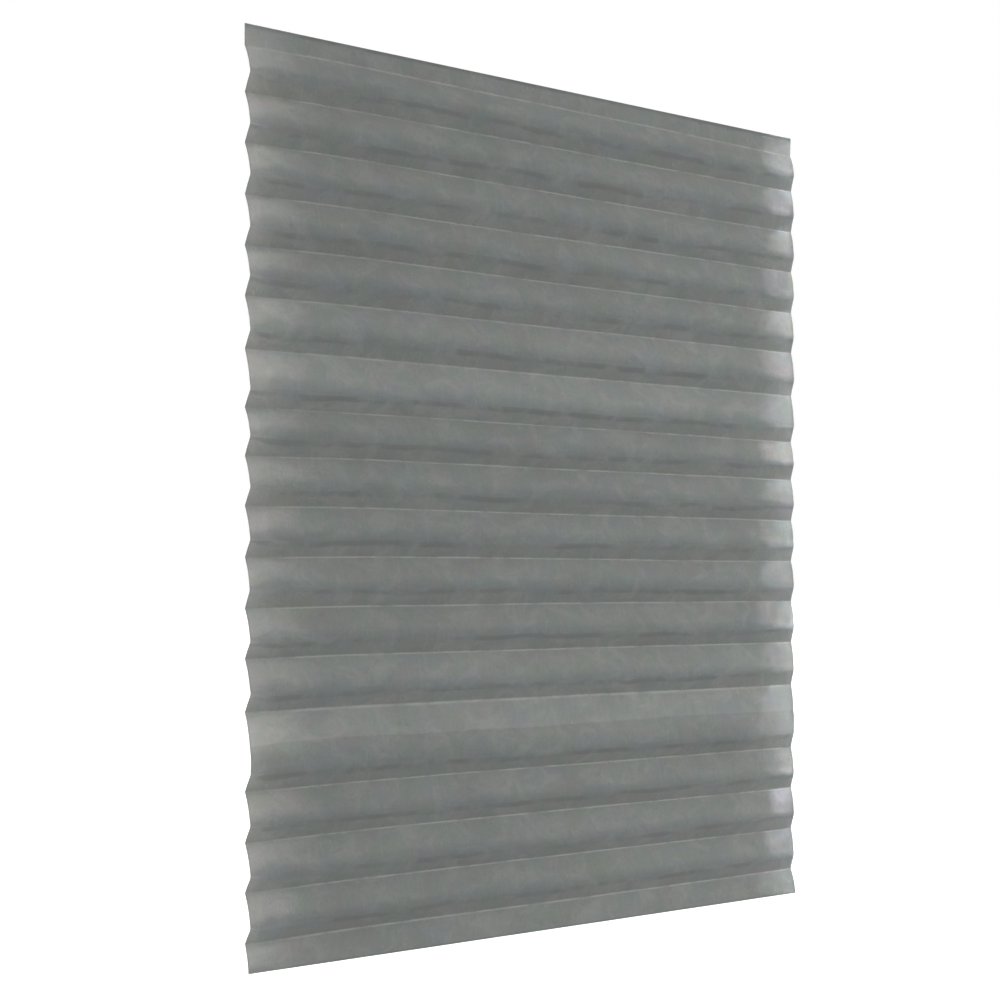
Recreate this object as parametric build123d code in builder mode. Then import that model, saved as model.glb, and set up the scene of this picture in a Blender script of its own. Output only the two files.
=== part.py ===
"""Pleated blind: one folded sheet of non-woven fabric that hangs from an adhesive strip.

The sheet has a flat flap at the top, with the strip on its back, and then a row of pleats.
Each pleat starts at a sharp pressed crease in the back plane, comes forward over a long upper
face, turns in a soft fold at the front and returns over a short lower face to the next crease.
The last pleat is cut off above its front fold.

Frame: millimetres, +Z up, X across the width, the front faces -Y. The origin is the centre of
the strip's sticky back face, and nothing reaches behind the plane of that face.
"""

import os

from build123d import *

# The sheet
WIDTH = 1200.0
SHEET_THICKNESS = 0.5
FLAP_HEIGHT = 32.0  # top edge down to the first crease

# The pleats, as the blind hangs fully let down
PLEAT_COUNT = 17
PLEAT_PITCH = 80.5  # crease to crease
PITCH_CHANGE = {0: -6.5, 5: 4.0, 6: 11.5, 7: -5.0, 12: 4.0}  # pleats that hang tighter or wider
FOLD_DEPTH = 20.5  # back plane to the front fold's corner, before it is rounded
RETURN_DROP = 31.5  # front fold's corner down to the next crease
TAIL_DROP = 47.0  # last crease down to the bottom edge
TAIL_DEPTH = 13.5  # back plane to the bottom edge

# One pleat is pulled almost open, and a half-flattened fold crosses its upper face
OPEN_PLEAT = 13
OPEN_PITCH = 125.0
OPEN_FOLD_DEPTH = 21.5
FLATTENED_FOLD_DROP = 50.0
FLATTENED_FOLD_DEPTH = 17.5

# Bends, measured on the sheet's back surface
CREASE_RADIUS = 0.8
FRONT_FOLD_RADIUS = 28.0
FLATTENED_FOLD_RADIUS = 14.0

# The adhesive strip
STRIP_HEIGHT = 20.0
STRIP_THICKNESS = 0.8
STRIP_TOP_INSET = 3.0  # top edge of the flap down to the strip
STRIP_END_INSET = 2.0  # side edge of the flap in to the strip's end

# Where the sheet lies on the strip
BACK_Y = -STRIP_THICKNESS  # the flap's back surface, and the plane of the creases
TOP_Z = STRIP_HEIGHT / 2 + STRIP_TOP_INSET


def pleat_bends(number: int, crease_z: float) -> list[tuple[float, float, float]]:
    """Bends of one pleat below its upper crease, as (y, z, radius), its lower crease last."""
    if number == OPEN_PLEAT:
        end_z = crease_z - OPEN_PITCH
        return [
            (BACK_Y - FLATTENED_FOLD_DEPTH, crease_z - FLATTENED_FOLD_DROP, FLATTENED_FOLD_RADIUS),
            (BACK_Y - OPEN_FOLD_DEPTH, end_z + RETURN_DROP, FRONT_FOLD_RADIUS),
            (BACK_Y, end_z, CREASE_RADIUS),
        ]
    end_z = crease_z - PLEAT_PITCH - PITCH_CHANGE.get(number, 0.0)
    return [
        (BACK_Y - FOLD_DEPTH, end_z + RETURN_DROP, FRONT_FOLD_RADIUS),
        (BACK_Y, end_z, CREASE_RADIUS),
    ]


# Bends of the whole sheet from the top down, on its back surface
bends = [(BACK_Y, TOP_Z - FLAP_HEIGHT, CREASE_RADIUS)]
for pleat in range(PLEAT_COUNT):
    bends += pleat_bends(pleat, crease_z=bends[-1][1])

top_edge = (BACK_Y, TOP_Z)
bottom_edge = (BACK_Y - TAIL_DEPTH, bends[-1][1] - TAIL_DROP)

# Pleated sheet: its side profile, one thickness deep, drawn across the width
with BuildPart() as pleated_sheet:
    with BuildSketch(Plane.YZ):
        with BuildLine() as profile:
            back_surface = FilletPolyline(
                top_edge,
                *[(y, z) for y, z, radius in bends],
                bottom_edge,
                radius=[radius for y, z, radius in bends],
            )
            offset(back_surface, amount=SHEET_THICKNESS, side=Side.RIGHT)
        make_face()
    extrude(amount=WIDTH / 2, both=True)
pleated_sheet.part.label = "pleated_sheet"

# Adhesive strip: double-sided foam tape on the back of the flap
with BuildPart() as adhesive_strip:
    with BuildSketch(Plane.XZ):
        Rectangle(WIDTH - 2 * STRIP_END_INSET, STRIP_HEIGHT)
    extrude(amount=STRIP_THICKNESS)
adhesive_strip.part.label = "adhesive_strip"

os.makedirs("parts", exist_ok=True)
export_step(pleated_sheet.part, "parts/pleated_sheet.step")
export_step(adhesive_strip.part, "parts/adhesive_strip.step")

print(f"flat length of the sheet {back_surface.length:.1f} mm")
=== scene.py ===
"""Looks of a pleated blind: one folded sheet of grey non-woven fabric on an adhesive strip."""

import logging
import math
from dataclasses import dataclass, field, replace
from enum import Enum

import bmesh
import bpy
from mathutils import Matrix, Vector, noise


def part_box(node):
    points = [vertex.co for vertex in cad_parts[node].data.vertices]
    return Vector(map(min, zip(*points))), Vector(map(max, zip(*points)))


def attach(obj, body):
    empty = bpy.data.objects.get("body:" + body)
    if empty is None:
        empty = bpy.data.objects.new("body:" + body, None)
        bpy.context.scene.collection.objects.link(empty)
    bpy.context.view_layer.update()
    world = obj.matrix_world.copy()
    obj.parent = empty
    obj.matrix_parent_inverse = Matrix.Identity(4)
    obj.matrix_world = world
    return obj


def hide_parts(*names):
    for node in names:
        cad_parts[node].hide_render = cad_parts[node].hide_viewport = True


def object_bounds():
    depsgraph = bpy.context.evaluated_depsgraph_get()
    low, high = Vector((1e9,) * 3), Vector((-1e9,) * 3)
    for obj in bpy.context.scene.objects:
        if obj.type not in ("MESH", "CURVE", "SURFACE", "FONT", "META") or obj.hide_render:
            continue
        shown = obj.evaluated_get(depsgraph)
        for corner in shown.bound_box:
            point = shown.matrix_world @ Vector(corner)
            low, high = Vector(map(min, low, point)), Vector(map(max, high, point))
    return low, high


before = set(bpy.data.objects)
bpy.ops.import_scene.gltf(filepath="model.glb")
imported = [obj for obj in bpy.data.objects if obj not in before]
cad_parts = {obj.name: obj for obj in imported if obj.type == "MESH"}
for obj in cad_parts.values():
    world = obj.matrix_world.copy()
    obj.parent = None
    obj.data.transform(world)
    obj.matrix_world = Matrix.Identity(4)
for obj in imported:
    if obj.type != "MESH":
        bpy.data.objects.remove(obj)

Colour = tuple[float, float, float, float]
Socket = bpy.types.NodeSocket

LOG = logging.getLogger("pleated_blind")
CAD_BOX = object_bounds()

FLAT_CUT_MAP = "flat_cut"
PLEAT_PHASE = "pleat_phase"
OPENED = "opened"


class Fold(Enum):
    """The kinds of bend that the sheet has."""

    CREASE = "pressed crease at the back"
    FRONT = "soft fold at the front"
    FLATTENED = "half-flattened fold across a face"


@dataclass(frozen=True)
class Bend:
    """One bend of the side profile, at the corner where its two faces would meet."""

    forward: float
    height: float
    radius: float
    fold: Fold


@dataclass(frozen=True)
class Station:
    """A line across the sheet, fixed on the cloth, that the folded mesh has a row of points on."""

    run: int
    share: float
    on_bend: bool
    from_top: float
    phase: float = 0.0
    opened: float = 0.0


@dataclass(frozen=True)
class Waver:
    """How a size strays smoothly from place to place, the same on each run."""

    amount: float
    period: float
    seed: float

    def at(self, across: float, lane: float) -> float:
        """How far the size strays at one place.

        Args:
            across: The distance from the sheet's left edge.
            lane: The place along the other way of the noise, in noise cells.

        Returns:
            The change, from minus the amount to plus the amount.
        """
        return self.amount * noise.noise(Vector((across / self.period, lane, self.seed)))


@dataclass(frozen=True)
class Blotches:
    """A cloudy pattern on the cloth.

    The size is the blotches' width and height in metres, and detail and roughness say how many
    finer layers there are and how strong they are. The blotches are swirled by the distortion, and
    the pattern is turned by the turn. Its strength rises between the two levels of the noise.
    """

    size: tuple[float, float]
    detail: float
    roughness: float = 0.5
    distortion: float = 0.0
    turn: float = 0.0
    levels: tuple[float, float] = (0.0, 1.0)
    strengths: tuple[float, float] = (0.0, 1.0)


def ease(value: float) -> float:
    """Smoothstep of a value, clamped to the range from 0 to 1."""
    share = min(max(value, 0.0), 1.0)
    return share * share * (3.0 - 2.0 * share)


@dataclass(frozen=True)
class Stray:
    """How a line strays down the cloth: by its reach times a pattern's noise, and by its shift."""

    pattern: Blotches
    reach: float
    shift: float


class NodeBoard:
    """A short way to write a material's node tree."""

    def __init__(self, name: str) -> None:
        """Make an empty material with its output and Principled shader.

        Args:
            name: The material's name.
        """
        self.material = bpy.data.materials.new(name)
        self.material.use_nodes = True
        self.tree = self.material.node_tree
        self.tree.nodes.clear()
        output = self.add("ShaderNodeOutputMaterial")
        self.shader = self.add("ShaderNodeBsdfPrincipled")
        self.link(self.shader.outputs["BSDF"], output.inputs["Surface"])

    def add(self, kind: str, values: dict | None = None, **settings: object) -> bpy.types.Node:
        """Add a node.

        Args:
            kind: The node's type.
            values: Values or source sockets for its inputs, by name or index.
            settings: Properties of the node itself.

        Returns:
            The new node.
        """
        node = self.tree.nodes.new(kind)
        for key, value in settings.items():
            setattr(node, key, value)
        for key, value in (values or {}).items():
            self.put(node.inputs[key], value)
        return node

    def put(self, socket: Socket, value: object) -> None:
        """Link a socket to its source, or give it a plain value.

        Args:
            socket: The socket.
            value: Its value, or the socket that it takes it from.
        """
        if isinstance(value, Socket):
            self.link(value, socket)
        else:
            socket.default_value = value

    def link(self, source: Socket, target: Socket) -> None:
        """Link two sockets."""
        self.tree.links.new(source, target)

    def maths(self, operation: str, *values: object) -> Socket:
        """A maths node.

        Args:
            operation: The operation's name, such as MULTIPLY.
            values: Its operands, numbers or sockets.

        Returns:
            The result's socket.
        """
        return self.add("ShaderNodeMath", dict(enumerate(values)), operation=operation).outputs[0]

    def spread(self, value: object, low: float, high: float, to_low: float = 0.0,
               to_high: float = 1.0) -> Socket:
        """Map a value smoothly from one range to another.

        Args:
            value: The value or its socket.
            low: The start of its range.
            high: The end of its range.
            to_low: The result at the start.
            to_high: The result at the end.

        Returns:
            The result's socket.
        """
        values = {"Value": value, "From Min": low, "From Max": high,
                  "To Min": to_low, "To Max": to_high}
        return self.add("ShaderNodeMapRange", values, interpolation_type="SMOOTHSTEP").outputs["Result"]

    def fade(self, value: object, band: tuple[float, float]) -> Socket:
        """A share that is 1 below a band of values, and falls smoothly to 0 above it."""
        return self.spread(value, *band, 1.0, 0.0)

    def tint(self, share: object, first: object, second: object, blend: str = "MIX") -> Socket:
        """Mix two colours.

        Args:
            share: How much of the second, a number or a socket.
            first: The first colour or its socket.
            second: The second colour or its socket.
            blend: The blend type.

        Returns:
            The mixed colour's socket.
        """
        # Inputs 6 and 7 and output 2 are the node's sockets for colours.
        mix = self.add("ShaderNodeMix", data_type="RGBA", blend_type=blend)
        self.put(mix.inputs["Factor"], share)
        self.put(mix.inputs[6], first)
        self.put(mix.inputs[7], second)
        return mix.outputs[2]

    def scaled(self, colour: Socket, level: Socket) -> Socket:
        """A colour made lighter or darker by a level."""
        values = {0: colour, "Scale": level}
        return self.add("ShaderNodeVectorMath", values, operation="SCALE").outputs[0]

    def clouds(self, place: Socket, blotches: Blotches) -> Socket:
        """The plain noise of a pattern on the cloth.

        Args:
            place: The socket of the place on the cloth, in metres.
            blotches: The pattern.

        Returns:
            The noise factor's socket.
        """
        width, height = blotches.size
        values = {"Vector": place, "Rotation": (0.0, 0.0, blotches.turn),
                  "Scale": (1.0 / width, 1.0 / height, 1.0)}
        mapped = self.add("ShaderNodeMapping", values).outputs["Vector"]
        values = {"Vector": mapped, "Scale": 1.0, "Detail": blotches.detail,
                  "Roughness": blotches.roughness, "Distortion": blotches.distortion}
        return self.add("ShaderNodeTexNoise", values, noise_dimensions="2D").outputs[0]

    def patches(self, place: Socket, blotches: Blotches) -> Socket:
        """A pattern on the cloth between its two strengths."""
        return self.spread(self.clouds(place, blotches), *blotches.levels, *blotches.strengths)

    def strayed(self, place: Socket, stray: Stray) -> Socket:
        """How far a line strays down the cloth at a place."""
        return self.maths("MULTIPLY_ADD", self.clouds(place, stray.pattern), stray.reach, stray.shift)


@dataclass(frozen=True)
class FoldShadeLine:
    """A broken line of painted shade under a front fold: its stray path, and its dashes."""

    stray: Stray
    dashes: Blotches


@dataclass(frozen=True)
class NonwovenFabric:
    """Matt grey non-woven: pressed fibres, cloudy where they lie thicker, lighter along the creases
    from whitened fibre and painted highlight, with painted shade, darker painted shade lines and a
    painted cool cast at the front folds.
    """

    width: float
    length: float
    name: str = "grey_nonwoven"
    warm_grey: Colour = (0.1870, 0.1940, 0.1795, 1.0)
    cool_grey: Colour = (0.1765, 0.1940, 0.1890, 1.0)
    rose_cast: Colour = (1.03, 0.985, 1.03, 1.0)
    green_cast: Colour = (0.97, 1.015, 0.97, 1.0)
    thin_grey: Colour = (0.222, 0.230, 0.219, 1.0)
    dense_grey: Colour = (0.158, 0.170, 0.168, 1.0)
    # The crease line: part whitened fibre, part painted highlight.
    whitened_highlight_grey: Colour = (0.325, 0.335, 0.31, 1.0)
    speck_grey: Colour = (0.28, 0.29, 0.28, 1.0)
    # The grey of the painted shade under the front folds, also used for the darker edge rim.
    shade_and_rim_grey: Colour = (0.135, 0.143, 0.138, 1.0)
    # Painted cool cast and painted shade where the cloth turns in each front fold.
    painted_cool_cast: Colour = (0.968, 1.0, 1.022, 1.0)
    painted_fold_shade: float = 0.08
    opened_lift: float = 0.16
    crease_band: tuple[float, float] = (0.00065, 0.0026)
    shade_line_band: tuple[float, float] = (0.0, 0.0042)
    cool_band: tuple[float, float] = (0.004, 0.024)
    turn_band: tuple[float, float] = (0.003, 0.020)
    side_rim: tuple[float, float] = (0.0004, 0.0024)
    top_rim: tuple[float, float] = (0.0035, 0.0075)
    bottom_rim: tuple[float, float] = (0.0015, 0.0045)
    bottom_rim_share: float = 0.8
    upper_face: float = 0.057
    lower_face: float = 0.033
    end_reach: float = 0.12
    left_crease_share: float = 0.05
    right_crease_reach: float = 0.05
    right_crease_share: float = 0.3
    # Painted shade at the left end: how far up the fold shade moves, and how much darker it gets.
    left_shade_shift: float = 0.011
    left_end_extra_shade: float = 0.15
    roughness: float = 0.93
    sheen: float = 0.12
    sheen_roughness: float = 0.45
    specular: float = 0.25
    fibre_relief: float = 0.00012
    fibre_strength: float = 0.7
    soft_relief: float = 3.0
    hue: Blotches = Blotches((0.085, 0.055), 5.0, 0.68, 0.5, levels=(0.34, 0.66))
    cast: Blotches = Blotches((0.06, 0.045), 5.0, 0.68, 0.5, 0.7, (0.34, 0.66))
    thin_patches: Blotches = Blotches((0.055, 0.04), 6.0, 0.66, 0.6, 0.5, (0.40, 0.74), (0.0, 0.75))
    dense_patches: Blotches = Blotches((0.021, 0.017), 4.0, 0.66, 0.4, 0.2, (0.50, 0.80), (0.0, 0.60))
    streaks: Blotches = Blotches((0.006, 0.075), 2.0, 0.5, 0.3, 0.0, (0.52, 0.85), (0.0, 0.35))
    broad_shade: Blotches = Blotches((0.17, 0.10), 3.0, 0.6, 0.5, 0.8, (0.3, 0.7), (0.965, 1.035))
    grain: Blotches = Blotches((0.0026, 0.0034), 3.0, 0.7, 0.8, 0.3, (0.25, 0.75), (0.945, 1.055))
    tufts: Blotches = Blotches((0.004, 0.011), 1.0, 0.5, 0.5, 0.15, (0.70, 0.82))
    tufted_areas: Blotches = Blotches((0.05, 0.05), 1.0, levels=(0.5, 0.62), strengths=(0.0, 0.4))
    cool_stray: Stray = Stray(Blotches((0.06, 0.05), 3.0, 0.6), 0.024, -0.014)
    turn_stray: Stray = Stray(Blotches((0.06, 0.05), 3.0, 0.6), 0.010, -0.007)
    crease_stray: Stray = Stray(Blotches((0.008, 0.2), 3.0), 0.0018, -0.0017)
    crease_whitening_and_highlight: Blotches = Blotches((0.05, 0.4), 4.0, 0.6, levels=(0.3, 0.62), strengths=(0.18, 0.66))
    rim_patches: Blotches = Blotches((0.05, 0.05), 3.0, 0.6, levels=(0.35, 0.65), strengths=(0.4, 0.9))
    fibres_across: Blotches = Blotches((0.0007, 0.006), 2.0, 0.6, 1.0, 0.6)
    fibres_along: Blotches = Blotches((0.006, 0.0008), 2.0, 0.6, 1.0, 0.35)
    softness: Blotches = Blotches((0.010, 0.014), 3.0, 0.6)
    # Painted shade: two broken dark lines under each front fold.
    shade_lines: tuple[FoldShadeLine, ...] = (
        FoldShadeLine(Stray(Blotches((0.1445, 0.3), 3.0, 0.55), 0.014, -0.020),
                  Blotches((0.085, 0.06), 3.0, 0.6, levels=(0.40, 0.62), strengths=(0.0, 0.64))),
        FoldShadeLine(Stray(Blotches((0.102, 0.3), 3.0, 0.55, 0.0, 0.11), 0.014, -0.010),
                  Blotches((0.06, 0.06), 3.0, 0.6, 0.0, 0.07, (0.40, 0.62), (0.0, 0.22))))

    def build(self) -> bpy.types.Material:
        """Build the material.

        Returns:
            The finished material.
        """
        board = NodeBoard(self.name)
        place = board.add("ShaderNodeUVMap", uv_map=FLAT_CUT_MAP).outputs["UV"]
        colour = self.cloudy(board, place)
        colour = self.specked(board, place, colour)
        colour = self.opened(board, colour)
        colour = self.cooled(board, place, colour)
        colour = self.creased(board, place, colour)
        colour = self.painted_shade_lines(board, place, colour)
        colour = self.cut_edges(board, place, colour)
        board.put(board.shader.inputs["Base Color"], colour)
        board.put(board.shader.inputs["Roughness"], self.roughness)
        board.put(board.shader.inputs["Sheen Weight"], self.sheen)
        board.put(board.shader.inputs["Sheen Roughness"], self.sheen_roughness)
        board.put(board.shader.inputs["Specular IOR Level"], self.specular)
        board.put(board.shader.inputs["Normal"], self.relief(board, place))
        return board.material

    def cloudy(self, board: NodeBoard, place: Socket) -> Socket:
        """Blotches of slightly warmer, cooler and thinner cloth.

        Args:
            board: The material's nodes.
            place: The place on the cloth.

        Returns:
            The colour's socket.
        """
        colour = board.tint(board.patches(place, self.hue), self.cool_grey, self.warm_grey)
        cast = board.tint(board.patches(place, self.cast), self.rose_cast, self.green_cast)
        colour = board.tint(1.0, colour, cast, "MULTIPLY")
        colour = board.tint(board.patches(place, self.thin_patches), colour, self.thin_grey)
        colour = board.tint(board.patches(place, self.dense_patches), colour, self.dense_grey)
        colour = board.tint(board.patches(place, self.streaks), colour, self.thin_grey)
        return board.scaled(colour, board.patches(place, self.broad_shade))

    def specked(self, board: NodeBoard, place: Socket, colour: Socket) -> Socket:
        """Fibre grain, and the few pale tufts where fibres bunch.

        Args:
            board: The material's nodes.
            place: The place on the cloth.
            colour: The colour so far.

        Returns:
            The colour's socket.
        """
        grained = board.scaled(colour, board.patches(place, self.grain))
        tufts = board.patches(place, self.tufts)
        share = board.maths("MULTIPLY", tufts, board.patches(place, self.tufted_areas))
        return board.tint(share, grained, self.speck_grey)

    def opened(self, board: NodeBoard, colour: Socket) -> Socket:
        """Lighter colour on the pleats that are pulled open.

        Args:
            board: The material's nodes.
            colour: The colour so far.

        Returns:
            The colour's socket.
        """
        share = board.add("ShaderNodeAttribute", attribute_name=OPENED).outputs["Fac"]
        return board.scaled(colour, board.maths("MULTIPLY_ADD", share, self.opened_lift, 1.0))

    def cooled(self, board: NodeBoard, place: Socket, colour: Socket) -> Socket:
        """Painted shade and a painted cool cast where the cloth turns in a front fold, the shade set
        higher and darker near the left end.

        Args:
            board: The material's nodes.
            place: The place on the cloth.
            colour: The colour so far.

        Returns:
            The colour's socket.
        """
        across = board.add("ShaderNodeSeparateXYZ", {"Vector": place}).outputs["X"]
        left_end = board.fade(across, (0.0, self.end_reach))
        stray = board.strayed(place, self.cool_stray)
        off_line = self.off_line(board, 0.5, stray, self.lower_face, self.upper_face)
        # Painted cool cast along each front fold.
        cool = board.tint(1.0, colour, self.painted_cool_cast, "MULTIPLY")
        cooled = board.tint(board.fade(off_line, self.cool_band), colour, cool)
        # Painted shade along each front fold, set higher and darker near the left end.
        stray = board.strayed(place, self.turn_stray)
        stray = board.maths("MULTIPLY_ADD", left_end, self.left_shade_shift, stray)
        off_line = self.off_line(board, 0.5, stray, self.lower_face, self.upper_face)
        loss = board.maths("MULTIPLY_ADD", left_end, self.left_end_extra_shade, self.painted_fold_shade)
        loss = board.maths("MULTIPLY", board.fade(off_line, self.turn_band), loss)
        return board.scaled(cooled, board.maths("SUBTRACT", 1.0, loss))

    def cut_edges(self, board: NodeBoard, place: Socket, colour: Socket) -> Socket:
        """A slightly darker rim along the top, bottom and side edges.

        Args:
            board: The material's nodes.
            place: The place on the cloth.
            colour: The colour so far.

        Returns:
            The colour's socket.
        """
        axes = board.add("ShaderNodeSeparateXYZ", {"Vector": place}).outputs
        across = board.maths("MINIMUM", axes["X"], board.maths("SUBTRACT", self.width, axes["X"]))
        above = board.maths("SUBTRACT", self.length, axes["Y"])
        bottom = board.spread(axes["Y"], *self.bottom_rim, self.bottom_rim_share, 0.0)
        rim = board.maths("MAXIMUM", board.fade(above, self.top_rim), bottom)
        rim = board.maths("MAXIMUM", board.fade(across, self.side_rim), rim)
        share = board.maths("MULTIPLY", rim, board.patches(place, self.rim_patches))
        return board.tint(share, colour, self.shade_and_rim_grey)

    def creased(self, board: NodeBoard, place: Socket, colour: Socket) -> Socket:
        """The lighter line along each pressed crease, part whitened fibre and part painted highlight,
        broken here and there.

        Args:
            board: The material's nodes.
            place: The place on the cloth.
            colour: The colour so far.

        Returns:
            The colour's socket.
        """
        stray = board.strayed(place, self.crease_stray)
        off_line = self.off_line(board, 0.0, stray, self.upper_face, self.lower_face)
        line = board.fade(off_line, self.crease_band)
        across = board.add("ShaderNodeSeparateXYZ", {"Vector": place}).outputs["X"]
        # The line, whitening and painted highlight alike, fades out towards both side edges.
        left = board.spread(across, 0.01, self.end_reach, self.left_crease_share, 1.0)
        right = board.spread(across, self.width - self.right_crease_reach, self.width, 1.0,
                             self.right_crease_share)
        ends = board.maths("MINIMUM", left, right)
        whitening_and_highlight = board.maths("MULTIPLY", board.patches(place, self.crease_whitening_and_highlight), ends)
        share = board.maths("MULTIPLY", line, whitening_and_highlight)
        return board.tint(share, colour, self.whitened_highlight_grey)

    def painted_shade_lines(self, board: NodeBoard, place: Socket, colour: Socket) -> Socket:
        """Painted shade: the darker, broken lines under each front fold.

        Args:
            board: The material's nodes.
            place: The place on the cloth.
            colour: The colour so far.

        Returns:
            The colour's socket.
        """
        for shade_line in self.shade_lines:
            stray = board.strayed(place, shade_line.stray)
            off_line = self.off_line(board, 0.5, stray, self.lower_face, self.upper_face)
            line = board.fade(off_line, self.shade_line_band)
            share = board.maths("MULTIPLY", line, board.patches(place, shade_line.dashes))
            # Painted shade along the line.
            colour = board.tint(share, colour, self.shade_and_rim_grey)
        return colour

    def off_line(self, board: NodeBoard, phase: float, stray: Socket, below: float,
                 above: float) -> Socket:
        """How far along the cloth a place is from the nearest line of a kind.

        Args:
            board: The material's nodes.
            phase: The line's share of a pleat, 0 for a crease and 0.5 for a front fold.
            stray: How far the line strays along the cloth, in metres.
            below: The length of the face below such a line.
            above: The length of the face above it.

        Returns:
            The socket of the distance, in metres.
        """
        pleats = board.add("ShaderNodeAttribute", attribute_name=PLEAT_PHASE).outputs["Fac"]
        # The ten keeps the sum above zero on the flap, and both halves put the line in the middle.
        turned = board.maths("FRACT", board.maths("ADD", pleats, 10.5 - phase))
        share = board.maths("SUBTRACT", turned, 0.5)
        down = board.maths("ADD", board.maths("MULTIPLY", share, 2 * below), stray)
        up = board.maths("SUBTRACT", board.maths("MULTIPLY", share, -2 * above), stray)
        return board.maths("MAXIMUM", down, up)

    def relief(self, board: NodeBoard, place: Socket) -> Socket:
        """The felted surface: fine fibres lying every way, over soft unevenness.

        Args:
            board: The material's nodes.
            place: The place on the cloth.

        Returns:
            The normal's socket.
        """
        across = board.clouds(place, self.fibres_across)
        along = board.clouds(place, self.fibres_along)
        soft = board.maths("MULTIPLY", board.clouds(place, self.softness), self.soft_relief)
        height = board.maths("ADD", board.maths("MAXIMUM", across, along), soft)
        values = {"Strength": self.fibre_strength, "Distance": self.fibre_relief, "Height": height}
        return board.add("ShaderNodeBump", values).outputs["Normal"]


@dataclass(frozen=True)
class FoamTape:
    """Off-white double-sided foam tape, with fine open cells and a faint tacky gloss."""

    name: str = "foam_tape"
    pale: Colour = (0.80, 0.81, 0.77, 1.0)
    dull: Colour = (0.70, 0.70, 0.66, 1.0)
    clouds_per_metre: float = 60.0
    cells_per_metre: float = 1400.0
    cell_depth: float = 0.0001

    def build(self) -> bpy.types.Material:
        """Build the material.

        Returns:
            The finished material.
        """
        board = NodeBoard(self.name)
        place = board.add("ShaderNodeTexCoord").outputs["Object"]
        values = {"Vector": place, "Scale": self.clouds_per_metre, "Detail": 4.0}
        clouds = board.add("ShaderNodeTexNoise", values).outputs[0]
        values = {"Vector": place, "Scale": self.cells_per_metre}
        cells = board.add("ShaderNodeTexVoronoi", values).outputs["Distance"]
        colour = board.tint(board.spread(clouds, 0.35, 0.65), self.pale, self.dull)
        board.put(board.shader.inputs["Base Color"], colour)
        board.put(board.shader.inputs["Roughness"], board.spread(clouds, 0.3, 0.7, 0.38, 0.58))
        values = {"Strength": 0.5, "Distance": self.cell_depth, "Height": cells}
        board.put(board.shader.inputs["Normal"], board.add("ShaderNodeBump", values).outputs["Normal"])
        return board.material


@dataclass(frozen=True)
class StudioPaper:
    """The plain white paper of the studio floor, lit a little from within."""

    name: str = "studio_paper"
    white: Colour = (0.93, 0.93, 0.93, 1.0)
    roughness: float = 0.95
    glow: float = 0.6

    def build(self) -> bpy.types.Material:
        """Build the material.

        Returns:
            The finished material.
        """
        board = NodeBoard(self.name)
        board.put(board.shader.inputs["Base Color"], self.white)
        board.put(board.shader.inputs["Roughness"], self.roughness)
        board.put(board.shader.inputs["Emission Color"], self.white)
        board.put(board.shader.inputs["Emission Strength"], self.glow)
        return board.material


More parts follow.
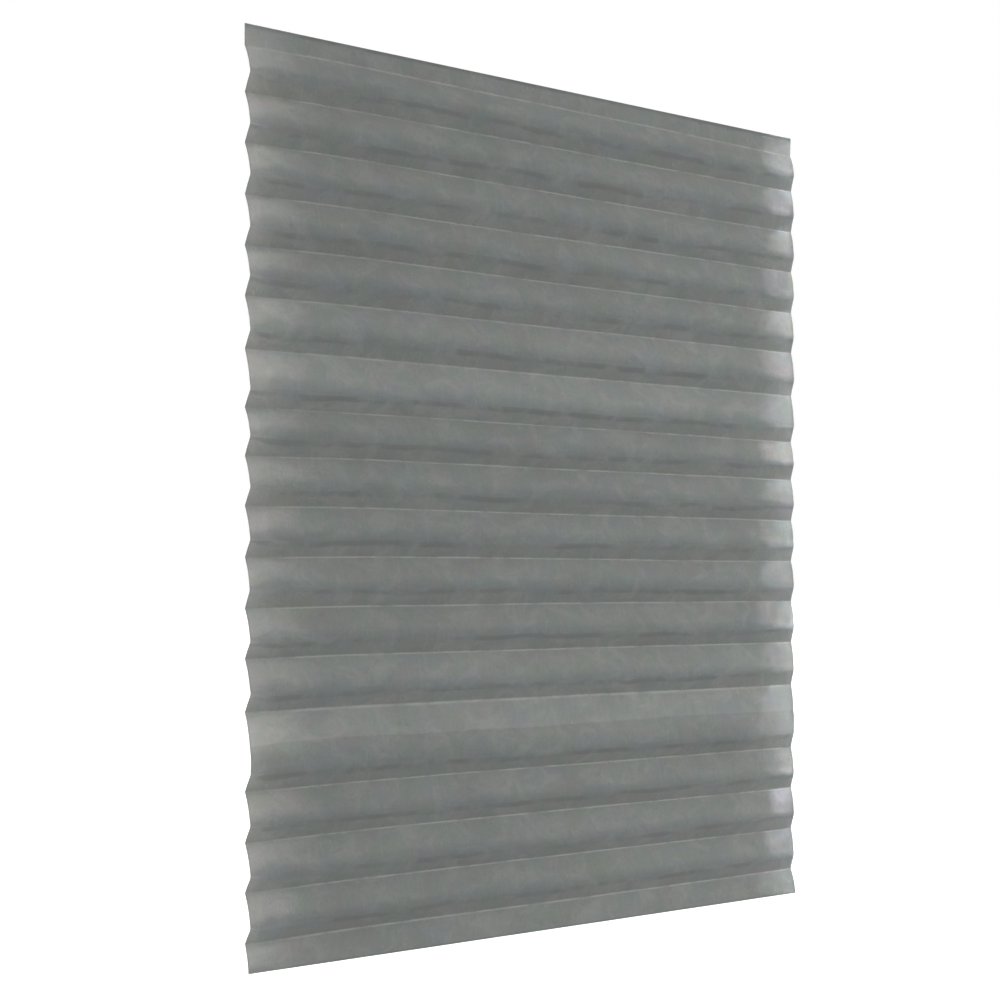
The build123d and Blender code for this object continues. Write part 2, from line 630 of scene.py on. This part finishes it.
@dataclass
class PleatedSheet:
    """The folded sheet. Sizes are in metres, and bends are measured on the middle of the cloth."""

    thickness: float = 0.0005
    flap_height: float = 0.032
    pleat_count: int = 17
    pleat_pitch: float = 0.0805
    pitch_change: dict[int, float] = field(
        default_factory=lambda: {0: -0.0065, 5: 0.0040, 6: 0.0115, 7: -0.0050, 12: 0.0040})
    fold_depth: float = 0.0205
    return_drop: float = 0.0315
    tail_forward: float = 0.0135
    open_pleat: int = 13
    open_pitch: float = 0.1250
    open_fold_depth: float = 0.0215
    flattened_fold_drop: float = 0.0500
    flattened_fold_depth: float = 0.0175
    crease_radius: float = 0.0010
    front_fold_radius: float = 0.0280
    fold_lean: float = 1.30
    reach_limits: tuple[float, float] = (0.55, 0.42)
    flattened_fold_radius: float = 0.0140
    upper_face_bow: float = 0.0014
    lower_face_bow: float = 0.0006
    left_end_bow: float = 0.0010
    bowed_reach: float = 0.10
    tail_bow: float = 0.0020
    flap_phase: float = -0.3
    tail_phase: float = 0.4
    opening_for_palest: float = 0.0100
    lower_face_opening: float = 0.4
    half_opening: float = 0.15
    left_droop: float = 0.0024
    drooping_reach: float = 0.24
    flap_droop: float = 0.0035
    flap_droop_start: float = 0.5
    flap_droop_reach: float = 0.6
    right_flattening: float = 0.52
    flattening_reach: float = 0.16
    sharpening_reach: float = 0.05
    left_sharpening: float = 0.65
    left_fold_drop: float = 0.003
    right_calming: float = 0.6
    calming_start: float = 0.12
    calming_reach: float = 0.10
    crease_float: float = 0.0010
    crease_sway: Waver = Waver(0.0016, 0.42, 0.37)
    crease_tremor: Waver = Waver(0.0005, 0.09, 4.0)
    crease_stray: Waver = Waver(1.0, 0.5, 9.0)
    depth_sway: Waver = Waver(0.14, 0.6, 2.0)
    depth_tremor: Waver = Waver(0.05, 0.11, 5.0)
    fold_rise: Waver = Waver(0.0026, 0.16, 7.0)
    radius_sway: Waver = Waver(0.35, 0.14, 11.0)
    lane_step: float = 3.17
    buckle: Waver = Waver(0.00022, 0.034, 1.0)
    buckle_height: float = 0.05
    swell: Waver = Waver(0.00055, 0.13, 3.0)
    swell_height: float = 0.045
    column_count: int = 128
    run_spacing: float = 0.0095
    bend_points: int = 7
    crease_points: int = 3
    crease_guard: float = 0.0016
    flat_length: float = field(init=False, default=0.0)

    def __post_init__(self) -> None:
        """Take the place and width of the sheet from its CAD node."""
        low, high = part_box("pleated_sheet")
        self.left = low.x
        self.width = high.x - low.x
        self.top = high.z
        self.bottom = low.z
        self.back = high.y - self.thickness / 2

    def nominal_bends(self) -> list[Bend]:
        """The bends of the side profile as designed, from the top down.

        Returns:
            The bends, between the top edge and the bottom edge.
        """
        bends = [Bend(0.0, self.top - self.flap_height, self.crease_radius, Fold.CREASE)]
        for number in range(self.pleat_count):
            start = bends[-1].height
            if number == self.open_pleat:
                end = start - self.open_pitch
                bends.append(Bend(self.flattened_fold_depth, start - self.flattened_fold_drop,
                                  self.flattened_fold_radius, Fold.FLATTENED))
                bends.append(Bend(self.open_fold_depth, end + self.return_drop,
                                  self.front_fold_radius, Fold.FRONT))
            else:
                end = start - self.pleat_pitch - self.pitch_change.get(number, 0.0)
                bends.append(Bend(self.fold_depth, end + self.return_drop,
                                  self.front_fold_radius, Fold.FRONT))
            bends.append(Bend(0.0, end, self.crease_radius, Fold.CREASE))
        return bends

    def corners(self, bends: list[Bend]) -> list[Vector]:
        """The corners of the side profile, with both edges, as (y, z).

        Args:
            bends: The bends between the edges.

        Returns:
            The corners from the top edge to the bottom edge.
        """
        inner = [Vector((self.back - bend.forward, bend.height)) for bend in bends]
        top = Vector((self.back, self.top))
        bottom = Vector((self.back - self.tail_forward, self.bottom))
        return [top, *inner, bottom]

    def bend_reach(self, corners: list[Vector], bends: list[Bend], index: int) -> tuple[float, float]:
        """How far a bend reaches from its corner along the faces above and below it.

        Args:
            corners: The profile's corners.
            bends: Its bends.
            index: The bend's index.

        Returns:
            The two lengths, each at most a share of its face.
        """
        before = corners[index + 1] - corners[index]
        after = corners[index + 2] - corners[index + 1]
        reach = bends[index].radius * math.tan(before.angle(after, 0.0) / 2)
        upward = reach if bends[index].fold is Fold.CREASE else reach * self.fold_lean
        most_up, most_down = self.reach_limits
        return min(upward, most_up * before.length), min(reach, most_down * after.length)

    def stations(self) -> list[Station]:
        """The rows of the mesh, fixed on the cloth.

        Returns:
            The stations from the top edge to the bottom edge.
        """
        bends = self.nominal_bends()
        corners = self.corners(bends)
        found = []
        travelled = 0.0
        reach_before = 0.0
        for run, (start, end) in enumerate(zip(corners, corners[1:])):
            last = run == len(bends)
            reach, reach_after = (0.0, 0.0) if last else self.bend_reach(corners, bends, run)
            straight = (end - start).length - reach_before - reach
            shares = self.run_shares(straight, run > 0 and bends[run - 1].fold is Fold.CREASE,
                                     not last and bends[run].fold is Fold.CREASE)
            found += [Station(run, share, False, travelled + share * straight) for share in shares]
            travelled += straight
            if not last:
                points = self.crease_points if bends[run].fold is Fold.CREASE else self.bend_points
                arc = self.arc_length(corners, bends, run, reach + reach_after)
                found += [Station(run, step / (points + 1), True, travelled + arc * step / (points + 1))
                          for step in range(1, points + 1)]
                travelled += arc
            reach_before = reach_after
        self.flat_length = travelled
        return self.with_phases(found)

    def with_phases(self, stations: list[Station]) -> list[Station]:
        """Count the pleats down the cloth: whole at each crease, and a half more at each front fold.

        Args:
            stations: The rows.

        Returns:
            The rows with their phases.
        """
        marks = [(0.0, self.flap_phase)]
        creases = 0
        for index, bend in enumerate(self.nominal_bends()):
            rows = [station.from_top for station in stations
                    if station.run == index and station.on_bend]
            middle = sum(rows) / len(rows)
            if bend.fold is Fold.CREASE:
                marks.append((middle, float(creases)))
                creases += 1
            elif bend.fold is Fold.FRONT:
                marks.append((middle, creases - 0.5))
        marks.append((self.flat_length, creases - 1 + self.tail_phase))
        return [replace(station, phase=between(station.from_top, marks), opened=self.opened_at(station))
                for station in stations]

    def opened_at(self, station: Station) -> float:
        """How far a row belongs to a pleat that is pulled open.

        Args:
            station: The row.

        Returns:
            A share from 0 to 1.
        """
        openings = self.openings()
        here = openings[station.run]
        onward = openings[station.run + 1] if station.on_bend else here
        return here + (onward - here) * station.share

    def openings(self) -> list[float]:
        """How far each face belongs to a pleat that is pulled open.

        Returns:
            A share from 0 to 1 for each face, from the flap down.
        """
        found = [0.0]
        for number in range(self.pleat_count):
            if number == self.open_pleat:
                found += [1.0, self.half_opening, 0.0]
            else:
                share = min(max(self.pitch_change.get(number, 0.0) / self.opening_for_palest, 0.0), 1.0)
                found += [share, self.lower_face_opening * share]
        return [*found, self.half_opening]

    def run_shares(self, length: float, crease_before: bool, crease_after: bool) -> list[float]:
        """Where the rows lie on a face, closer together beside a crease.

        Args:
            length: The face's length.
            crease_before: Whether a crease is above it.
            crease_after: Whether a crease is below it.

        Returns:
            The rows' shares of the face's length.
        """
        count = max(2, round(length / self.run_spacing))
        shares = [step / count for step in range(count + 1)]
        guard = self.crease_guard / length
        if crease_before:
            shares.insert(1, guard)
        if crease_after:
            shares.insert(-1, 1.0 - guard)
        return shares

    def arc_length(self, corners: list[Vector], bends: list[Bend], index: int, reach: float) -> float:
        """The length of cloth in a bend.

        Args:
            corners: The profile's corners.
            bends: Its bends.
            index: The bend's index.
            reach: How far it reaches along both its faces, added up.

        Returns:
            The length round the bend.
        """
        before = corners[index + 1] - corners[index]
        after = corners[index + 2] - corners[index + 1]
        half_turn = before.angle(after, 0.0) / 2
        return reach * half_turn / math.tan(half_turn) if half_turn > 1e-4 else reach

    def hung_bends(self, across: float) -> list[Bend]:
        """The bends at one place across the sheet, as the cloth really hangs.

        Args:
            across: The distance from the sheet's left edge.

        Returns:
            The bends there.
        """
        hung = []
        right_end = ease((across - self.width + self.flattening_reach) / self.flattening_reach)
        left_end = ease((self.sharpening_reach - across) / self.sharpening_reach)
        droop = self.left_droop * ease((self.drooping_reach - across) / self.drooping_reach)
        flap_droop = self.flap_droop * ease((across - self.flap_droop_start) / self.flap_droop_reach)
        for index, bend in enumerate(self.nominal_bends()):
            lane = index * self.lane_step
            sway = self.crease_sway.at(across, lane) + self.crease_tremor.at(across, lane)
            forward = bend.forward
            height = bend.height + sway - droop
            radius = bend.radius
            if index == 0:
                height -= flap_droop
            elif bend.fold is Fold.CREASE:
                forward = self.crease_float * (1 + self.crease_stray.at(across, lane))
            else:
                depth = 1 + self.depth_sway.at(across, lane) + self.depth_tremor.at(across, lane)
                forward *= depth * (1 - self.right_flattening * right_end)
                height += self.fold_rise.at(across, lane) - self.left_fold_drop * left_end
                softness = 1 + self.radius_sway.at(across, lane)
                radius *= softness * (1 - self.left_sharpening * left_end)
            hung.append(Bend(forward, height, radius, bend.fold))
        return hung

    def column(self, across: float, stations: list[Station]) -> list[Vector]:
        """The points of one column of the mesh.

        Args:
            across: The distance from the sheet's left edge.
            stations: The rows.

        Returns:
            One point for each station.
        """
        bends = self.hung_bends(across)
        corners = self.corners(bends)
        reaches = [self.bend_reach(corners, bends, index) for index in range(len(bends))] + [(0.0, 0.0)]
        points = []
        for station in stations:
            run = station.run
            start, corner = corners[run], corners[run + 1]
            along = (corner - start).normalized()
            bend_start = corner - along * reaches[run][0]
            if station.on_bend:
                onward = (corners[run + 2] - corner).normalized()
                bend_end = corner + onward * reaches[run][1]
                first = bend_start.lerp(corner, station.share)
                second = corner.lerp(bend_end, station.share)
                flat = first.lerp(second, station.share)
            else:
                face_start = start + along * reaches[run - 1][1] if run else start
                flat = face_start.lerp(bend_start, station.share)
                flat.x -= self.bow(run, bends, across) * math.sin(math.pi * station.share)
            points.append(Vector((self.left + across, flat.x - self.wrinkle(across, station), flat.y)))
        return points

    def bow(self, run: int, bends: list[Bend], across: float) -> float:
        """How far the middle of a face stands forward of a straight line.

        Args:
            run: The face's number, from the flap down.
            bends: The bends of the profile.
            across: The distance from the sheet's left edge.

        Returns:
            The distance, in metres.
        """
        if run == 0:
            return 0.0
        if run == len(bends):
            return self.tail_bow
        if bends[run - 1].fold is Fold.FRONT:
            return -self.lower_face_bow
        left_end = ease((self.bowed_reach - across) / self.bowed_reach)
        return self.upper_face_bow + self.left_end_bow * left_end

    def wrinkle(self, across: float, station: Station) -> float:
        """How far small wrinkles lift the cloth forward: not at a crease, and most at a front fold.

        Args:
            across: The distance from the sheet's left edge.
            station: The row.

        Returns:
            The lift, in metres.
        """
        slack = abs(math.sin(math.pi * station.phase)) if station.phase > 0 else 0.0
        right_end = ease((across - self.width + self.calming_start) / self.calming_reach)
        slack *= 1 - self.right_calming * right_end
        buckle = self.buckle.at(across, station.from_top / self.buckle_height)
        swell = self.swell.at(across, station.from_top / self.swell_height)
        return slack * (buckle + swell)

    def build(self) -> bpy.types.Object:
        """Build the folded cloth, with its flat-cut map, pleat phases and openings.

        Returns:
            The sheet's object.
        """
        stations = self.stations()
        columns = [self.column(self.width * step / self.column_count, stations)
                   for step in range(self.column_count + 1)]
        grid = bmesh.new()
        bmesh.ops.create_grid(grid, x_segments=self.column_count, y_segments=len(stations) - 1,
                              size=1.0)
        phase_layer = grid.verts.layers.float.new(PLEAT_PHASE)
        opened_layer = grid.verts.layers.float.new(OPENED)
        place_of = {}
        for vert in grid.verts:
            step = round((vert.co.x + 1) / 2 * self.column_count)
            row = round((1 - vert.co.y) / 2 * (len(stations) - 1))
            down = stations[row].from_top
            place_of[vert] = (self.width * step / self.column_count, self.flat_length - down)
            vert[phase_layer] = stations[row].phase
            vert[opened_layer] = stations[row].opened
            vert.co = columns[step][row]
        for edge in grid.edges:
            edge.smooth = not edge.is_boundary
        self.lay_map(grid, place_of)
        mesh = bpy.data.meshes.new("folded_cloth")
        grid.to_mesh(mesh)
        grid.free()
        mesh.shade_smooth()
        cloth = bpy.data.objects.new("folded_cloth", mesh)
        bpy.context.scene.collection.objects.link(cloth)
        self.thicken(cloth)
        return cloth

    def lay_map(self, grid: bmesh.types.BMesh, place_of: dict) -> None:
        """Give each corner its place on the flat cut, in metres.

        Args:
            grid: The sheet's mesh.
            place_of: Each point's place on the flat cut.
        """
        layer = grid.loops.layers.uv.new(FLAT_CUT_MAP)
        for face in grid.faces:
            for loop in face.loops:
                loop[layer].uv = place_of[loop.vert]

    def thicken(self, cloth: bpy.types.Object) -> None:
        """Give the cloth its thickness, half to each side.

        Args:
            cloth: The sheet's object.
        """
        wall = cloth.modifiers.new("thickness", "SOLIDIFY")
        wall.thickness = self.thickness
        wall.offset = 0.0

    def dress(self, cloth: bpy.types.Object) -> None:
        """Give the sheet its finish, attach it to the root body and hide its CAD node.

        Args:
            cloth: The sheet's object.
        """
        cloth.data.materials.append(NonwovenFabric(self.width, self.flat_length).build())
        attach(cloth, "root")
        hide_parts("pleated_sheet")


def between(place: float, marks: list[tuple[float, float]]) -> float:
    """The value at a place, on straight lines between marks.

    Args:
        place: The place along the cloth.
        marks: Places in rising order, each with its value.

    Returns:
        The value.
    """
    for (start, first), (end, second) in zip(marks, marks[1:]):
        if place <= end:
            return first + (second - first) * (place - start) / (end - start)
    return marks[-1][1]


@dataclass
class AdhesiveStrip:
    """The foam tape on the back of the flap, whose CAD shape is kept."""

    node: str = "adhesive_strip"

    def dress(self) -> bpy.types.Object:
        """Give the tape its finish.

        Returns:
            The tape's object.
        """
        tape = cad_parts[self.node]
        tape.data.materials.clear()
        tape.data.materials.append(FoamTape().build())
        return tape


@dataclass(frozen=True)
class Softbox:
    """A rectangular soft light: its middle, what it faces, its size, watts, colour and spread."""

    name: str
    place: Vector
    target: Vector
    size: tuple[float, float]
    power: float
    colour: tuple[float, float, float]
    spread: float = math.pi


@dataclass
class Studio:
    """A white paper floor, soft lights and the camera."""

    floor_below: float = 0.9
    floor_size: float = 160.0
    fill: float = 0.685
    backdrop: float = 1.0
    lens: float = 60.18
    lens_shift: float = 0.082
    camera_place: tuple[float, float, float] = (-1.7882, -2.3929, -0.870)
    camera_turn: float = 35.1
    high_light_power: float = 0.24
    high_light_angle: float = 25.0
    high_light_tilt: float = 38.0
    strip_width: float = 0.02
    beam_spread: float = math.radians(1.6)
    white: tuple[float, float, float] = (1.0, 1.0, 1.0)
    warm: tuple[float, float, float] = (1.0, 0.90, 0.875)
    cool: tuple[float, float, float] = (0.935, 0.917, 1.0)

    def build(self) -> None:
        """Build the floor, the lights and the camera."""
        self.build_floor()
        self.build_world()
        low, high = (Vector(corner) for corner in CAD_BOX)
        self.add_softbox(self.key_softbox((low + high) / 2))
        self.add_high_light()
        for softbox in (*self.edge_strips(low, high), *self.edge_beams(low, high)):
            self.add_softbox(softbox)
        self.add_camera()

    def key_softbox(self, middle: Vector) -> Softbox:
        """The large softbox in front, turned partly away from the blind.

        Args:
            middle: The middle of the blind.

        Returns:
            The softbox.
        """
        return Softbox("key_softbox", middle + Vector((3.8, -2.8, 1.2)),
                       middle + Vector((3.0, 0.0, -3.5)), size=(2.2, 3.0), power=143.0,
                       colour=self.white)

    def edge_strips(self, low: Vector, high: Vector) -> tuple[Softbox, Softbox]:
        """The upright strips of light beside the two side edges.

        Args:
            low: The lowest corner of the blind.
            high: Its highest corner.

        Returns:
            The cool strip at the right and the warm one at the left.
        """
        middle = (low + high) / 2
        size = (self.strip_width, high.z - low.z)
        right = Softbox("right_edge_strip", Vector((high.x + 0.02, low.y - 0.03, middle.z)),
                        Vector((high.x - 0.06, high.y, middle.z)), size, power=0.08,
                        colour=self.cool)
        left = Softbox("left_edge_strip", Vector((low.x - 0.012, low.y - 0.018, middle.z)),
                       Vector((low.x + 0.06, high.y, middle.z)), size, power=0.22,
                       colour=self.warm)
        return right, left

    def edge_beams(self, low: Vector, high: Vector) -> tuple[Softbox, Softbox]:
        """The narrow beams from high in front that rake down the two side edges.

        Args:
            low: The lowest corner of the blind.
            high: Its highest corner.

        Returns:
            The cool beam at the right and the warm one at the left.
        """
        middle = (low + high) / 2
        target = Vector((high.x + 0.02, low.y, middle.z))
        right = Softbox("right_edge_beam", target + Vector((0.0, -1.85, 5.71)), target,
                        size=(0.10, 0.9), power=1.42, colour=self.cool, spread=self.beam_spread)
        target = Vector((low.x + 0.03, low.y, middle.z))
        left = Softbox("left_edge_beam", target + Vector((0.0, -2.40, 5.50)), target,
                       size=(0.06, 0.9), power=0.13, colour=self.warm, spread=self.beam_spread)
        return right, left

    def build_floor(self) -> None:
        """Lay the white paper floor, well below the hanging blind."""
        low, _ = CAD_BOX
        paper = bmesh.new()
        bmesh.ops.create_grid(paper, x_segments=1, y_segments=1, size=self.floor_size / 2)
        bmesh.ops.translate(paper, vec=(0.0, 0.0, low[2] - self.floor_below), verts=paper.verts)
        mesh = bpy.data.meshes.new("paper_floor")
        paper.to_mesh(mesh)
        paper.free()
        mesh.materials.append(StudioPaper().build())
        floor = bpy.data.objects.new("paper_floor", mesh)
        floor.visible_diffuse = False
        bpy.context.scene.collection.objects.link(floor)

    def build_world(self) -> None:
        """Fill the studio with even light in front of a white backdrop."""
        world = bpy.data.worlds.new("studio_light")
        world.use_nodes = True
        tree = world.node_tree
        background = tree.nodes["Background"]
        background.inputs["Color"].default_value = (1.0, 1.0, 1.0, 1.0)
        seen = tree.nodes.new("ShaderNodeLightPath").outputs["Is Camera Ray"]
        level = tree.nodes.new("ShaderNodeMath")
        level.operation = "MULTIPLY_ADD"
        level.inputs[1].default_value = self.backdrop - self.fill
        level.inputs[2].default_value = self.fill
        tree.links.new(seen, level.inputs[0])
        tree.links.new(level.outputs[0], background.inputs["Strength"])
        bpy.context.scene.world = world
        bpy.context.scene.view_settings.view_transform = "Standard"

    def add_high_light(self) -> None:
        """Add the even, soft light from high in front."""
        light = bpy.data.lights.new("high_light", "SUN")
        light.energy = self.high_light_power
        light.angle = math.radians(self.high_light_angle)
        lamp = bpy.data.objects.new("high_light", light)
        lamp.rotation_euler = (math.radians(self.high_light_tilt), 0.0, 0.0)
        bpy.context.scene.collection.objects.link(lamp)

    def add_softbox(self, softbox: Softbox) -> None:
        """Add a rectangular soft light.

        Args:
            softbox: What the light is and where it stands.
        """
        light = bpy.data.lights.new(softbox.name, "AREA")
        light.shape = "RECTANGLE"
        light.size, light.size_y = softbox.size
        light.energy = softbox.power
        light.color = softbox.colour
        light.spread = softbox.spread
        lamp = bpy.data.objects.new(softbox.name, light)
        lamp.location = softbox.place
        lamp.rotation_euler = (softbox.target - softbox.place).to_track_quat("-Z", "Y").to_euler()
        lamp.visible_camera = False
        bpy.context.scene.collection.objects.link(lamp)

    def add_camera(self) -> None:
        """Add the level camera, to the left of the blind and turned towards its middle."""
        camera = bpy.data.cameras.new("camera")
        camera.lens = self.lens
        camera.sensor_width = 36.0
        camera.shift_y = self.lens_shift
        camera.clip_end = 300.0
        stand = bpy.data.objects.new("camera", camera)
        stand.location = self.camera_place
        stand.rotation_euler = (math.pi / 2, 0.0, -math.radians(self.camera_turn))
        bpy.context.scene.collection.objects.link(stand)
        bpy.context.scene.camera = stand


def main() -> None:
    """Build every piece, and report each one."""
    logging.basicConfig(level=logging.INFO, format="%(name)s: %(message)s")
    Studio().build()
    LOG.info("studio: floor, lights and camera")
    sheet = PleatedSheet()
    cloth = sheet.build()
    sheet.dress(cloth)
    faces = len(cloth.data.polygons)
    LOG.info("%s: %d faces, flat length %.4f m", cloth.name, faces, sheet.flat_length)
    tape = AdhesiveStrip().dress()
    LOG.info("%s: dressed as foam tape", tape.name)


if __name__ == "__main__":
    main()
